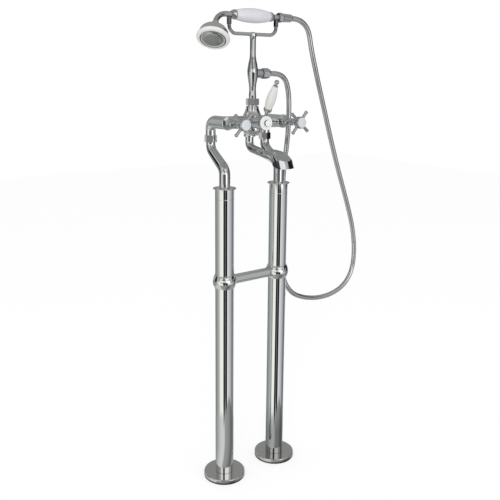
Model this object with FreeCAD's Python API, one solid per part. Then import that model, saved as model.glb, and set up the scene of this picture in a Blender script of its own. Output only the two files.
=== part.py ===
"""Floor standing bath filler: two standpipes, a bridge mixer with crosshead valves and a diverter lever,
a fan spout, and a hand shower with its hose on a cradle.

Millimetres. +Z is up, -Y is the bath side, +X runs from the hot standpipe to the cold one. The origin is on the
floor, midway between the two standpipes.
"""
import FreeCAD, Part
import math
import os

V = FreeCAD.Vector
UP = V(0, 0, 1)
DOWN = V(0, 0, -1)
FRONT = V(0, -1, 0)
RIGHT = V(1, 0, 0)
SIDES = {"left": -1, "right": 1}

# ---- stand -------------------------------------------------------------------------------------------------
INLET_SPACING = 180.0       # between the centres of the two standpipes, a standard size
SEAT = 0.3                  # gap between pieces of different bodies that rest on each other
RUNNING = 0.05              # radial clearance of a spindle in its bore

COVER_R = 57.5              # cover flange
COVER_H = 13.5
COVER_WALL = 2.0
PLATE_INSET = 5.0           # gap between the fixing plate and the cover's wall
PLATE_R = COVER_R - COVER_WALL - PLATE_INSET
PLATE_T = 5.0
SPIGOT_H = 30.0             # spigot on the plate, inside the standpipe
SCREW_R = 3.5
SCREW_INSET = 20.5          # from the plate's edge to the sides of the square of four floor screws
SCREW_OFFSET = PLATE_R - SCREW_INSET
COVER_EDGE = 2.5            # rounding of its top edge

PILLAR_R = 25.4
PILLAR_WALL = 1.5
BALL_Z = 574.5              # height of the ball tees and the crossbar
BALL_R = 32.0
BALL_LIP_R = 26.4           # thin ring where the standpipe enters the ball
BALL_LIP_H = 19.5
CROSSBAR_R = 13.0
CROSSBAR_WALL = 1.5
SOCKET_R = 14.8             # ring round each end of the crossbar
SOCKET_T = 1.0

CAP_TOP_Z = 827.5           # top of the cap's rim
CAP_RIM_R = 30.8
CAP_RIM_T = 3.0
CAP_SKIRT_H = 29.0          # from the rim's top to the joint with the standpipe
CAP_DOME = 2.5              # rise of the cap's top towards the pipe
CAP_SPIGOT_H = 12.0
JOINT_CHAMFER = 0.5         # fine groove at the joint line

SUPPLY_R = 11.0             # supply pipe inside the standpipe
SUPPLY_WALL = 1.0
INLET_SOCKET_R = 11.05      # socket for the house pipe
INLET_SOCKET_DEPTH = 20.0
INLET_SOCKET_WALL = 2.5
SUPPLY_OVERLAP = 14.0       # supply pipe end inside the cranked leg

# ---- cranked legs and elbows --------------------------------------------------------------------------------
LEG_R = 14.6
LEG_TOP_R = 12.4            # the leg narrows towards its union
LEG_TOP_BORE_R = 10.0
LEG_TAIL = 33.0             # leg below the cap's top
LEG_CRANK = 65.0            # how far the leg steps back
LEG_BEND_R = 27.3
LEG_BEND_TURN = 54.0        # degrees of each bend
LEG_BEND_Z = 861.0          # start of the lower bend
LEG_TOP_Z = 949.5
WASHER_T = 2.5
UNION_Z = 940.9
UNION_H = 18.4
UNION_AF = 29.0
AXIS_Z = 994.5              # height of the valves and the body
ELBOW_R = 16.5
ELBOW_STUB_R = 13.4
ELBOW_BEND_R = 22.0
ELBOW_BORE_R = 11.0
BODY_Y = 3.0                # the body lies this far behind the standpipes' centres
ELBOW_END_Y = 34.0          # joint between elbow and body

# ---- body ---------------------------------------------------------------------------------------------------
BODY_R = 16.5
BARREL_FRONT_Y = -12.0      # front of each valve barrel
BARREL_RIM_R = 18.0
BARREL_RIM_T = 5.0
HUB_R = 24.0
HUB_HALF_H = 18.0
HUB_TOP_R = 16.0
HUB_TOP_Z = 1035.5
HUB_FOOT_R = 17.0
HUB_FOOT_Z = 959.5
RISER_NECK_R = 12.0
RISER_NECK_H = 5.0
SPOUT_BOSS_R = 15.5
SPOUT_Y = 15.0              # centre of the spout's root
SPOUT_BOSS_Z = 955.5
DIVERTER_R = 17.0
DIVERTER_FRONT_Y = -43.0
DIVERTER_BORE = 24.0        # depth of the diverter spindle's bore
WATER_R = 9.0               # waterway in the body

# ---- valves -------------------------------------------------------------------------------------------------
BONNET_AF = 27.0
BONNET_HEX_T = 8.0
BONNET_NECK_R = 10.5
BONNET_LEN = 22.0
BONNET_Y = BARREL_FRONT_Y - BARREL_RIM_T
SPINDLE_Y = BONNET_Y - 4.0  # bottom of the spindle's bore
SPINDLE_R = 5.0
SPINDLE_LEN = 50.0
CROSS_Y = -83.3             # plane of the four spokes
CROSS_HUB_R = 15.5
CROSS_HUB_T = 15.0
CROSS_FACE = 8.5            # hub's front ahead of that plane
CROSS_FRONT_Y = CROSS_Y - CROSS_FACE
CROSS_TURN = {"left": 47.0, "right": 50.0}      # degrees of the first spoke from the horizontal
CROSS_SKIRT_R = 8.5
CROSS_SKIRT_LEN = 26.0
SPOKE_R = 4.0
SPOKE_TIP_R = 4.7
SPOKE_TIP_LEN = 5.0
SPOKE_REACH = 36.5
INDEX_R = 13.0
INDEX_T = 4.0
INDEX_DOME = 1.2

# ---- diverter lever -----------------------------------------------------------------------------------------
LEVER_HUB_T = 11.5
LEVER_HUB_R = 17.5
LEVER_LEAN = 27.0           # degrees forward
LEVER_ROOT_Y = -51.5
LEVER_ROOT_Z = 13.0         # above the valve axis
STEM_R = 4.2
FERRULE_AT = 16.0           # along the lever from its root
FERRULE_LEN = 12.0
FERRULE_R = 10.8
LEVER_GRIP_LEN = 62.0
LEVER_GRIP_R = 12.2
LEVER_GRIP_FOOT_R = 9.0
LEVER_GRIP_TOP_R = 6.6
FINIAL_R = 6.0
DISC_R = 18.6
DISC_T = 5.0
BUTTON_R = 8.2
BUTTON_T = 5.0

# ---- spout --------------------------------------------------------------------------------------------------
SPOUT_R = 11.0
SPOUT_WALL = 2.0
SPOUT_BEND_Z = 942.5
SPOUT_BEND_R = 19.0
SPOUT_FALL = 9.5            # degrees below the horizontal
SPOUT_NECK_Y = -64.0        # where the tube ends inside the fan
LIP_HALF_W = 25.0
LIP_SIDE_Y = -134.0         # front corners of the lip, at its top edge
LIP_APEX_Y = -144.0         # middle of its bowed front
LIP_TOP_Z = 903.5
LIP_BOTTOM_Z = 886.5
LIP_LEAN = 22.4             # degrees that the front leans out towards its foot
LIP_BACK_Y = -117.0         # back of the lip's side walls
LIP_HEEL = 7.0              # rise of their lower edge towards the back
LIP_HEEL_Y = -139.0         # where that rise starts
FAN = [                     # sections of the fan: y, half width, top, bottom, squareness
    (-56.0, 11.6, 927.0, 903.0, 2.0),
    (-72.0, 13.6, 928.5, 900.0, 2.1),
    (-88.0, 17.4, 930.0, 897.0, 2.3),
    (-104.0, 21.8, 928.4, 893.0, 2.5),
    (-118.0, 24.5, 924.6, 889.0, 2.6),
    (-130.0, 24.9, 916.8, 888.0, 2.6),
    (-146.0, 24.9, 902.5, 887.0, 2.6),
]
FAN_POINTS = 16             # points on each section
MOUTH_HALF_W = 19.0
MOUTH_DEPTH = 13.0
MOUTH_FRONT_Y = -136.0
MOUTH_BACK_Y = -123.0
AERATOR_T = 3.0

# ---- riser and cradle ---------------------------------------------------------------------------------------
RISER_NUT_Z = 1038.0
RISER_NUT_H = 16.5
RISER_NUT_AF = 31.0
RISER_FOOT_Z = HUB_TOP_Z + RISER_NECK_H
RISER_FOOT_R = 9.7
RISER_FOOT_LIP = 4.0
RISER_NARROW_R = 7.6
RISER_BELLY_R = 14.3
RISER_LEN = 171.0
RISER_BELLY_AT = 81.0       # widest point, above the riser's foot
OUTLET_AT = 78.5            # hose outlet, above the riser's foot
RISER_TOP_Z = RISER_FOOT_Z + RISER_LEN
RISER_BORE_R = 5.0
OUTLET_Z = RISER_FOOT_Z + OUTLET_AT
OUTLET_R = 11.6
OUTLET_END = 34.0           # end of the outlet's spigot, from the riser's axis
OUTLET_SPIGOT_R = 8.0
OUTLET_NUT_LEN = 21.0
OUTLET_NUT_AF = 24.5
OUTLET_NUT_NOSE_R = 9.0

CRADLE_HALF = 74.5          # from the middle to each arm
CRADLE_R = 4.5
CRADLE_Z = RISER_TOP_Z + CRADLE_R + 0.5
CRADLE_BEND_R = 20.0
CRADLE_BOSS_R = 9.0
CRADLE_BOSS_TOP = 7.0
CRADLE_BOSS_DOME = 4.0
SADDLE_X = 8.5
SADDLE_Y = 11.0
SADDLE_FOOT_DROP = 24.0     # foot and top of each saddle, below the hand shower's axis
SADDLE_TOP_DROP = 5.0

# ---- hand shower --------------------------------------------------------------------------------------------
HANDSET_RISE = 45.5         # hand shower axis above the cradle bar
HANDSET_Z = CRADLE_Z + HANDSET_RISE
NECK_R = 6.75
INNER_TUBE_R = 5.0
NECK_BORE_R = 4.0
HEAD_NECK_SHOWN = 18.5      # neck between the cradle's arm and the grip, at the head end
TAIL_NECK_SHOWN = 22.5      # the same at the hose end
GRIP_FROM = -(CRADLE_HALF - HEAD_NECK_SHOWN)
GRIP_TO = CRADLE_HALF - TAIL_NECK_SHOWN
GRIP_R = 18.0
GRIP_END_R = 12.0
FERRULE_T = 13.0            # metal collar at each end of the grip
FERRULE_OUTER_R = 12.2
TAIL_PAST_ARM = 6.5
TAIL_END = CRADLE_HALF + TAIL_PAST_ARM
HOSE_NUT_LEN = 44.5
HOSE_NUT_R = 11.1
HOSE_NUT_END_R = 10.2
HOSE_NUT_NOSE_R = 8.6
HOSE_NUT_NOSE_LEN = 6.0
HOSE_NUT_HEX_LEN = 11.0
HEAD_ROLL = 25.8            # degrees that the head is turned towards the bath
BEND_PAST_ARM = 8.5         # straight neck beyond the cradle's arm, before the bend to the head
HEAD_BEND_X = -(CRADLE_HALF + BEND_PAST_ARM)
HEAD_BEND_R = 43.7
HEAD_BEND_TURN = 65.6
HEAD_REACH = 46.0           # from the end of the bend to the ring's middle
RING_R = 41.0
RING_HALF_T = 5.0
BELL_R = 36.5
BELL_WALL = 2.0
BELL_LEN = 41.0
SPRAY_R = 32.4
SPRAY_T = 4.0
SPRAY_PROUD = 1.6

# ---- hose ---------------------------------------------------------------------------------------------------
HOSE_R = 7.0
OUTLET_MOUTH = OUTLET_END + OUTLET_NUT_LEN
HOSE_MOUTH = TAIL_END + HOSE_NUT_LEN
HOSE_ROUTE = [
    V(OUTLET_MOUTH, BODY_Y, OUTLET_Z),
    V(77, BODY_Y, OUTLET_Z),
    V(96, 3, 1114.5),
    V(111, 3, 1102.5),
    V(120, 4, 1081.5),
    V(126, 5, 1048),
    V(127, 6, 1004),
    V(127, 9, 944),
    V(124, 18, 872),
    V(127, 27, 804),
    V(132, 31, 705),
    V(133, 30, 616),
    V(140, 25, 540),
    V(166, 22, 488),
    V(211, 20, 461),
    V(268, 20, 450),
    V(325, 20, 454),
    V(378, 20, 473),
    V(411, 20, 515),
    V(417, 19, 578),
    V(406, 18, 646),
    V(382, 16, 713),
    V(354, 14, 779),
    V(322, 12, 854),
    V(288, 10, 942),
    V(256, 8, 1030),
    V(225, 5, 1112),
    V(200, 4, 1187),
    V(190, 3, 1230),
    V(173, 3, 1251),
    V(148, BODY_Y, HANDSET_Z),
    V(HOSE_MOUTH, BODY_Y, HANDSET_Z),
]

parts = {}


# ---- helpers ------------------------------------------------------------------------------------------------
def placed(shape, base, direction):
    """The shape, made along +Z from the origin, moved to base and turned along direction."""
    shape.Placement = FreeCAD.Placement(base, FreeCAD.Rotation(UP, direction))
    return shape


def rod(radius, length, base, direction=UP):
    return Part.makeCylinder(radius, length, base, direction)


def ring(outer, inner, length, base, direction=UP):
    return rod(outer, length, base, direction).cut(rod(inner, length, base, direction))


def turned(outline, base=V(0, 0, 0), direction=UP):
    """A turned piece. The outline is (radius, height) points, and a step of four numbers is an arc: middle, end."""
    edges = []
    last = V(outline[0][0], 0, outline[0][1])
    for step in outline[1:] + [outline[0][:2]]:
        end = V(step[-2], 0, step[-1])
        if len(step) == 4:
            edges.append(Part.Arc(last, V(step[0], 0, step[1]), end).toShape())
        elif (end - last).Length > 1e-6:
            edges.append(Part.LineSegment(last, end).toShape())
        last = end
    solid = Part.Face(Part.Wire(edges)).revolve(V(0, 0, 0), UP, 360)
    if solid.Volume < 0:
        solid.reverse()
    return placed(solid, base, direction)


def dome(radius, base, rise):
    """The arc of a shallow round top, from its edge to the axis."""
    ball = (radius ** 2 + rise ** 2) / (2 * rise)
    half = math.asin(radius / ball) / 2
    return (ball * math.sin(half), base + rise - ball * (1 - math.cos(half)), 0, base + rise)


def hexagon(flats, length, base, direction=UP, turn=0.0, chamfer=1.4):
    """A hexagonal nut blank with its corners turned off at both ends."""
    corner = flats / math.sqrt(3)
    points = [V(corner * math.cos(math.radians(60 * i + turn)), corner * math.sin(math.radians(60 * i + turn)), 0)
              for i in range(7)]
    blank = Part.Face(Part.makePolygon(points)).extrude(V(0, 0, length))
    edge = corner - chamfer
    barrel = turned([(0, 0), (edge, 0), (corner, chamfer), (corner, length - chamfer), (edge, length), (0, length)])
    return placed(blank.common(barrel), base, direction)


def corner_radii(points):
    """The largest tangent arc at each inner point: 0.45 of the shorter run over the tangent of half the turn."""
    radii = []
    for before, here, after in zip(points, points[1:], points[2:]):
        turn = (here - before).getAngle(after - here)
        shorter = min((here - before).Length, (after - here).Length)
        radii.append(0.45 * shorter / math.tan(turn / 2))
    return radii


def rounded_path(points, radii):
    """Straight runs joined by tangent arcs, as one wire."""
    edges = []
    last = points[0]
    for before, here, after, radius in zip(points, points[1:], points[2:], radii):
        into = (here - before).normalize()
        out = (after - here).normalize()
        turn = into.getAngle(out)
        reach = radius * math.tan(turn / 2)
        start = here - into * reach
        end = here + out * reach
        inward = (out - into).normalize()
        middle = here + inward * (radius / math.cos(turn / 2) - radius)
        edges.append(Part.LineSegment(last, start).toShape())
        edges.append(Part.Arc(start, middle, end).toShape())
        last = end
    edges.append(Part.LineSegment(last, points[-1]).toShape())
    return Part.Wire(edges)


def tube(path, radius):
    """A round bar along a path."""
    first = path.Edges[0]
    start = first.valueAt(first.FirstParameter)
    heading = first.tangentAt(first.FirstParameter)
    section = Part.Wire(Part.makeCircle(radius, start, heading))
    return path.makePipeShell([section], True, True)


def bend_path(points, radius):
    """Two arcs and the straight run between them, without the straight ends."""
    wire = rounded_path(points, [radius, radius])
    return Part.Wire(wire.Edges[1:-1])


def tapered_tube(path, start_r, end_r):
    """A round bar along a path whose radius changes evenly from start to end."""
    first = path.Edges[0]
    last = path.Edges[-1]
    start = Part.makeCircle(start_r, first.valueAt(first.FirstParameter), first.tangentAt(first.FirstParameter))
    end = Part.makeCircle(end_r, last.valueAt(last.LastParameter), last.tangentAt(last.LastParameter))
    if start_r == end_r:
        return path.makePipeShell([Part.Wire(start)], True, True)
    return path.makePipeShell([Part.Wire(start), Part.Wire(end)], True, True)


def soft_box(low, high, rounding):
    """A block with rounded edges."""
    size = high - low
    block = Part.makeBox(size.x, size.y, size.z, low)
    return block.makeFillet(rounding, block.Edges)


# ---- stand --------------------------------------------------------------------------------------------------
def stand(side, x):
    foot = V(x, 0, 0)
    inner_r = PILLAR_R - PILLAR_WALL
    socket_outer = INLET_SOCKET_R + INLET_SOCKET_WALL
    plate = rod(PLATE_R, PLATE_T, foot).fuse(rod(inner_r, PLATE_T + SPIGOT_H, foot))
    plate = plate.cut(rod(socket_outer + 1, PLATE_T + SPIGOT_H, foot))
    for dx in (-SCREW_OFFSET, SCREW_OFFSET):
        for dy in (-SCREW_OFFSET, SCREW_OFFSET):
            plate = plate.cut(rod(SCREW_R, PLATE_T, foot + V(dx, dy, 0)))
    parts["base_plate_" + side] = plate

    rim = COVER_R - COVER_EDGE
    knee = COVER_EDGE * (1 - math.sqrt(0.5))
    under = COVER_H - COVER_WALL
    parts["floor_flange_" + side] = turned([
        (COVER_R, 0),
        (COVER_R, COVER_H - COVER_EDGE),
        (COVER_R - knee, COVER_H - knee, rim, COVER_H),
        (PILLAR_R, COVER_H),
        (PILLAR_R, under),
        (COVER_R - COVER_WALL, under),
        (COVER_R - COVER_WALL, 0),
    ], foot)

    joint_z = CAP_TOP_Z - CAP_SKIRT_H
    parts["lower_standpipe_" + side] = ring(PILLAR_R, inner_r, BALL_Z - PLATE_T, foot + UP * PLATE_T)
    parts["upper_standpipe_" + side] = turned([
        (inner_r, BALL_Z),
        (PILLAR_R, BALL_Z),
        (PILLAR_R, joint_z - JOINT_CHAMFER),
        (PILLAR_R - JOINT_CHAMFER, joint_z),
        (inner_r, joint_z),
    ], foot)

    inward = V(-1 if x > 0 else 1, 0, 0)
    centre = foot + UP * BALL_Z
    ball = Part.makeSphere(BALL_R, centre).fuse(rod(BALL_LIP_R, 2 * BALL_LIP_H, centre - UP * BALL_LIP_H))
    ball = ball.fuse(rod(SOCKET_R, BALL_R + SOCKET_T, centre, inward))
    ball = ball.cut(rod(PILLAR_R, 4 * BALL_R, centre - UP * 2 * BALL_R))
    ball = ball.cut(rod(CROSSBAR_R, BALL_R, centre + inward * (PILLAR_R + 1), inward))
    parts["ball_tee_" + side] = ball

    rim_z = CAP_TOP_Z - CAP_RIM_T
    soft = CAP_RIM_T / 2
    parts["cap_" + side] = turned([
        (LEG_R, rim_z),
        (inner_r - COVER_WALL, rim_z),
        (inner_r - COVER_WALL, joint_z - CAP_SPIGOT_H),
        (inner_r, joint_z - CAP_SPIGOT_H),
        (inner_r, joint_z),
        (PILLAR_R - JOINT_CHAMFER, joint_z),
        (PILLAR_R, joint_z + JOINT_CHAMFER),
        (PILLAR_R, rim_z),
        (CAP_RIM_R - soft, rim_z),
        (CAP_RIM_R, rim_z + soft, CAP_RIM_R - soft, CAP_TOP_Z),
        (PILLAR_R - 4, CAP_TOP_Z + CAP_DOME * 0.35, LEG_R + 1.5, CAP_TOP_Z + CAP_DOME),
        (LEG_R, CAP_TOP_Z + CAP_DOME),
    ], foot)

    leg_foot_z = CAP_TOP_Z - LEG_TAIL
    bore = SUPPLY_R - SUPPLY_WALL
    parts["supply_pipe_" + side] = turned([
        (INLET_SOCKET_R, 0),
        (socket_outer, 0),
        (socket_outer, INLET_SOCKET_DEPTH + 2),
        (SUPPLY_R, INLET_SOCKET_DEPTH + 6),
        (SUPPLY_R, leg_foot_z + SUPPLY_OVERLAP),
        (bore, leg_foot_z + SUPPLY_OVERLAP),
        (bore, INLET_SOCKET_DEPTH),
        (INLET_SOCKET_R, INLET_SOCKET_DEPTH),
    ], foot)


def crossbar():
    """Bridge between the two ball tees, seated in their sockets."""
    half = INLET_SPACING / 2 - PILLAR_R - 1
    parts["crossbar"] = ring(CROSSBAR_R, CROSSBAR_R - CROSSBAR_WALL, 2 * half, V(-half, 0, BALL_Z), RIGHT)


# ---- legs and elbows ----------------------------------------------------------------------------------------
def cranked_leg(side, x):
    turn = math.radians(LEG_BEND_TURN)
    reach = LEG_BEND_R * math.tan(turn / 2)
    low = LEG_BEND_Z + reach
    high = low + LEG_CRANK / math.tan(turn)
    bends_end = high + reach
    foot_z = CAP_TOP_Z - LEG_TAIL
    centre = V(x, LEG_CRANK, 0)
    points = [V(x, 0, foot_z), V(x, 0, low), V(x, LEG_CRANK, high), V(x, LEG_CRANK, LEG_TOP_Z)]
    path = bend_path(points, LEG_BEND_R)
    pipes = []
    for foot_r, top_r in ((LEG_R, LEG_TOP_R), (SUPPLY_R, LEG_TOP_BORE_R)):
        pipe = tapered_tube(path, foot_r, top_r)
        pipe = pipe.fuse(rod(foot_r, LEG_BEND_Z - foot_z, V(x, 0, foot_z)))
        pipes.append(pipe.fuse(rod(top_r, LEG_TOP_Z - bends_end, centre + UP * bends_end)))
    parts["cranked_leg_" + side] = pipes[0].cut(pipes[1])

    parts["union_washer_" + side] = ring(LEG_TOP_R, LEG_TOP_BORE_R, WASHER_T, centre + UP * LEG_TOP_Z)
    nut = hexagon(UNION_AF, UNION_H, centre + UP * UNION_Z, turn=15)
    stub_z = LEG_TOP_Z + WASHER_T
    nut = nut.cut(rod(LEG_TOP_R, UNION_H, centre + UP * UNION_Z))
    parts["union_nut_" + side] = nut.cut(rod(ELBOW_STUB_R, UNION_H, centre + UP * stub_z))


def inlet_elbow(side, x):
    """Elbow that widens from its stub in the union to the barrel."""
    stub_z = LEG_TOP_Z + WASHER_T
    bend_z = AXIS_Z - ELBOW_BEND_R
    bend_y = LEG_CRANK - ELBOW_BEND_R
    knee = ELBOW_BEND_R * math.sqrt(0.5)
    middle = V(x, bend_y + knee, bend_z + knee)
    bend = Part.Wire(Part.Arc(V(x, LEG_CRANK, bend_z), middle, V(x, bend_y, AXIS_Z)).toShape())
    pipes = []
    for stub_r, barrel_r in ((ELBOW_STUB_R, ELBOW_R), (ELBOW_BORE_R, ELBOW_BORE_R)):
        pipe = tapered_tube(bend, stub_r, barrel_r)
        pipe = pipe.fuse(rod(stub_r, bend_z - stub_z, V(x, LEG_CRANK, stub_z)))
        pipes.append(pipe.fuse(rod(barrel_r, bend_y - ELBOW_END_Y, V(x, bend_y, AXIS_Z), FRONT)))
    parts["inlet_elbow_" + side] = pipes[0].cut(pipes[1])


# ---- body ---------------------------------------------------------------------------------------------------
def mixer_body():
    half = INLET_SPACING / 2
    middle = V(0, BODY_Y, 0)
    body = rod(BODY_R, 2 * half, V(-half, BODY_Y, AXIS_Z), RIGHT)
    waterway = rod(WATER_R, 2 * half, V(-half, BODY_Y, AXIS_Z), RIGHT)
    hub_top = AXIS_Z + HUB_HALF_H
    hub_foot = AXIS_Z - HUB_HALF_H
    neck_top = HUB_TOP_Z + RISER_NECK_H
    body = body.fuse(turned([
        (0, HUB_FOOT_Z),
        (HUB_FOOT_R, HUB_FOOT_Z),
        (HUB_FOOT_R + 5.2, (hub_foot + HUB_FOOT_Z) / 2, HUB_R, hub_foot),
        (HUB_R, hub_top),
        (HUB_TOP_R + 2.6, (hub_top + HUB_TOP_Z) / 2, HUB_TOP_R, HUB_TOP_Z),
        (RISER_NECK_R, HUB_TOP_Z),
        (RISER_NECK_R, neck_top),
        (0, neck_top),
    ], middle))
    body = body.fuse(rod(SPOUT_BOSS_R, AXIS_Z - SPOUT_BOSS_Z, V(0, SPOUT_Y, SPOUT_BOSS_Z)))
    body = body.fuse(rod(DIVERTER_R, BODY_Y - DIVERTER_FRONT_Y, V(0, BODY_Y, AXIS_Z), FRONT))
    waterway = waterway.fuse(rod(RISER_BORE_R, neck_top - AXIS_Z, V(0, BODY_Y, AXIS_Z)))
    waterway = waterway.fuse(rod(WATER_R, AXIS_Z - SPOUT_BOSS_Z, V(0, SPOUT_Y, SPOUT_BOSS_Z)))
    for x in (-half, half):
        barrel_len = ELBOW_END_Y - BARREL_FRONT_Y
        body = body.fuse(rod(BODY_R, barrel_len, V(x, ELBOW_END_Y, AXIS_Z), FRONT))
        body = body.fuse(turned([
            (0, 0),
            (BARREL_RIM_R - 1.5, 0),
            (BARREL_RIM_R, 1.5),
            (BARREL_RIM_R, BARREL_RIM_T - 1),
            (BARREL_RIM_R - 1, BARREL_RIM_T),
            (0, BARREL_RIM_T),
        ], V(x, BARREL_FRONT_Y, AXIS_Z), FRONT))
        waterway = waterway.fuse(rod(WATER_R, ELBOW_END_Y - BODY_Y + WATER_R, V(x, ELBOW_END_Y, AXIS_Z), FRONT))
    spindle_bore = rod(SPINDLE_R + RUNNING, DIVERTER_BORE, V(0, DIVERTER_FRONT_Y, AXIS_Z), V(0, 1, 0))
    parts["mixer_body"] = body.cut(waterway).cut(spindle_bore)


# ---- valves -------------------------------------------------------------------------------------------------
def valve(side, x):
    """Bonnet fixed in the barrel; spindle, crosshead and index disc turn together."""
    base = V(x, BONNET_Y, AXIS_Z)
    bonnet = hexagon(BONNET_AF, BONNET_HEX_T, base, FRONT, turn=30)
    bonnet = bonnet.fuse(turned([
        (0, 0),
        (BONNET_NECK_R + 1.5, BONNET_HEX_T),
        (BONNET_NECK_R, BONNET_HEX_T + 2),
        (BONNET_NECK_R, BONNET_LEN - 2),
        (BONNET_NECK_R - 2, BONNET_LEN),
        (0, BONNET_LEN),
    ], base, FRONT))
    bore_len = BONNET_Y - SPINDLE_Y
    bonnet = bonnet.cut(rod(SPINDLE_R + RUNNING, BONNET_LEN - bore_len, V(x, SPINDLE_Y, AXIS_Z), FRONT))
    parts["valve_bonnet_" + side] = bonnet

    parts["valve_spindle_" + side] = rod(SPINDLE_R, SPINDLE_LEN, V(x, SPINDLE_Y - SEAT, AXIS_Z), FRONT)

    front = V(x, CROSS_FRONT_Y, AXIS_Z)
    back = V(0, 1, 0)
    skirt = CROSS_HUB_T + CROSS_SKIRT_LEN
    head = turned([
        (0, 0),
        (CROSS_HUB_R - 1.2, 0),
        (CROSS_HUB_R, 1.2),
        (CROSS_HUB_R, CROSS_HUB_T - 2),
        (CROSS_HUB_R - 0.6, CROSS_HUB_T - 0.4, CROSS_HUB_R - 2.4, CROSS_HUB_T + 0.6),
        (CROSS_SKIRT_R + 0.8, CROSS_HUB_T + 9, CROSS_SKIRT_R, skirt - 3),
        (CROSS_SKIRT_R + 1.2, skirt - 3),
        (CROSS_SKIRT_R + 1.2, skirt),
        (0, skirt),
    ], front, back)
    spoke = turned([
        (0, 0),
        (SPOKE_R, 0),
        (SPOKE_R, SPOKE_REACH - SPOKE_TIP_LEN),
        (SPOKE_TIP_R, SPOKE_REACH - SPOKE_TIP_LEN + 1),
        (SPOKE_TIP_R, SPOKE_REACH - 1),
        (SPOKE_TIP_R - 1, SPOKE_REACH),
        (0, SPOKE_REACH),
    ])
    for quarter in range(4):
        angle = math.radians(CROSS_TURN[side] + 90 * quarter)
        arm = spoke.copy()
        head = head.fuse(placed(arm, V(x, CROSS_Y, AXIS_Z), V(math.cos(angle), 0, math.sin(angle))))
    spindle_end = SPINDLE_Y - SEAT - SPINDLE_LEN
    socket_from = CROSS_FRONT_Y + skirt
    head = head.cut(rod(SPINDLE_R, socket_from - spindle_end, V(x, socket_from, AXIS_Z), FRONT))
    parts["crosshead_" + side] = head

    parts["index_disc_" + side] = turned([
        (0, 0),
        (INDEX_R, 0),
        (INDEX_R, INDEX_T - INDEX_DOME),
        dome(INDEX_R, INDEX_T - INDEX_DOME, INDEX_DOME),
    ], front, FRONT)


# ---- diverter -----------------------------------------------------------------------------------------------
def diverter():
    """Lever hub, stem, ferrule, ceramic grip, finial, ceramic disc and button turn about the diverter spindle."""
    hub_y = DIVERTER_FRONT_Y - SEAT
    hub_base = V(0, hub_y, AXIS_Z)
    parts["diverter_spindle"] = rod(SPINDLE_R, DIVERTER_BORE - 2, hub_base, V(0, 1, 0))
    hub = turned([
        (0, 0),
        (LEVER_HUB_R - 2, 0),
        (LEVER_HUB_R, 2),
        (LEVER_HUB_R, LEVER_HUB_T - 3),
        (DISC_R, LEVER_HUB_T - 2),
        (DISC_R, LEVER_HUB_T),
        (0, LEVER_HUB_T),
    ], hub_base, FRONT)
    lean = math.radians(LEVER_LEAN)
    along = V(0, -math.sin(lean), math.cos(lean))
    root = V(0, LEVER_ROOT_Y, AXIS_Z + LEVER_ROOT_Z)
    grip_at = FERRULE_AT + FERRULE_LEN
    grip_end = grip_at + LEVER_GRIP_LEN
    hub = hub.fuse(rod(STEM_R, FERRULE_AT + 3, root, along))
    disc_y = hub_y - LEVER_HUB_T
    parts["lever_hub"] = hub.cut(rod(DISC_R + 1, 2 * DISC_R, V(0, disc_y, AXIS_Z), FRONT))

    parts["lever_ferrule"] = turned([
        (0, 3),
        (STEM_R, 3),
        (STEM_R, 0),
        (STEM_R + 1.5, 0),
        (FERRULE_R - 1, FERRULE_LEN * 0.35, FERRULE_R, FERRULE_LEN * 0.7),
        (FERRULE_R, FERRULE_LEN),
        (0, FERRULE_LEN),
    ], root + along * FERRULE_AT, along)
    belly = 0.38 * LEVER_GRIP_LEN
    parts["lever_grip"] = turned([
        (0, 0),
        (LEVER_GRIP_FOOT_R, 0),
        (LEVER_GRIP_R - 0.9, 0.17 * LEVER_GRIP_LEN, LEVER_GRIP_R, belly),
        (LEVER_GRIP_R - 1.6, 0.68 * LEVER_GRIP_LEN, LEVER_GRIP_TOP_R, LEVER_GRIP_LEN),
        (0, LEVER_GRIP_LEN),
    ], root + along * grip_at, along)
    finial_z = 5.0 + FINIAL_R
    waist = math.sqrt(FINIAL_R ** 2 - 9)
    parts["lever_finial"] = turned([
        (0, 0),
        (LEVER_GRIP_TOP_R - 0.4, 0),
        (LEVER_GRIP_TOP_R - 0.4, 2),
        (3, 4),
        (3, finial_z - waist),
        (FINIAL_R, finial_z, 0, finial_z + FINIAL_R),
    ], root + along * grip_end, along)

    parts["diverter_disc"] = turned([
        (BUTTON_R, 0),
        (DISC_R - 0.4, 0),
        (DISC_R - 0.4, DISC_T - 2),
        (DISC_R - 0.9, DISC_T - 0.5, DISC_R - 2.4, DISC_T),
        (BUTTON_R, DISC_T),
    ], V(0, disc_y, AXIS_Z), FRONT)
    parts["diverter_button"] = turned([
        (0, 0),
        (BUTTON_R, 0),
        (BUTTON_R, DISC_T + BUTTON_T - 1.5),
        (BUTTON_R - 0.5, DISC_T + BUTTON_T - 0.5, BUTTON_R - 1.5, DISC_T + BUTTON_T),
        (0, DISC_T + BUTTON_T),
    ], V(0, disc_y, AXIS_Z), FRONT)


# ---- spout --------------------------------------------------------------------------------------------------
def front_outline(z):
    """Plan of everything behind the spout's bowed front at one height."""
    lean = math.tan(math.radians(LIP_LEAN)) * (z - LIP_TOP_Z)
    left = V(-LIP_HALF_W, LIP_SIDE_Y + lean, z)
    right = V(LIP_HALF_W, LIP_SIDE_Y + lean, z)
    left_back = V(-LIP_HALF_W, 2 * LIP_HALF_W, z)
    right_back = V(LIP_HALF_W, 2 * LIP_HALF_W, z)
    return Part.Wire([
        Part.LineSegment(left_back, left).toShape(),
        Part.Arc(left, V(0, LIP_APEX_Y + lean, z), right).toShape(),
        Part.LineSegment(right, right_back).toShape(),
        Part.LineSegment(right_back, left_back).toShape(),
    ])


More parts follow.
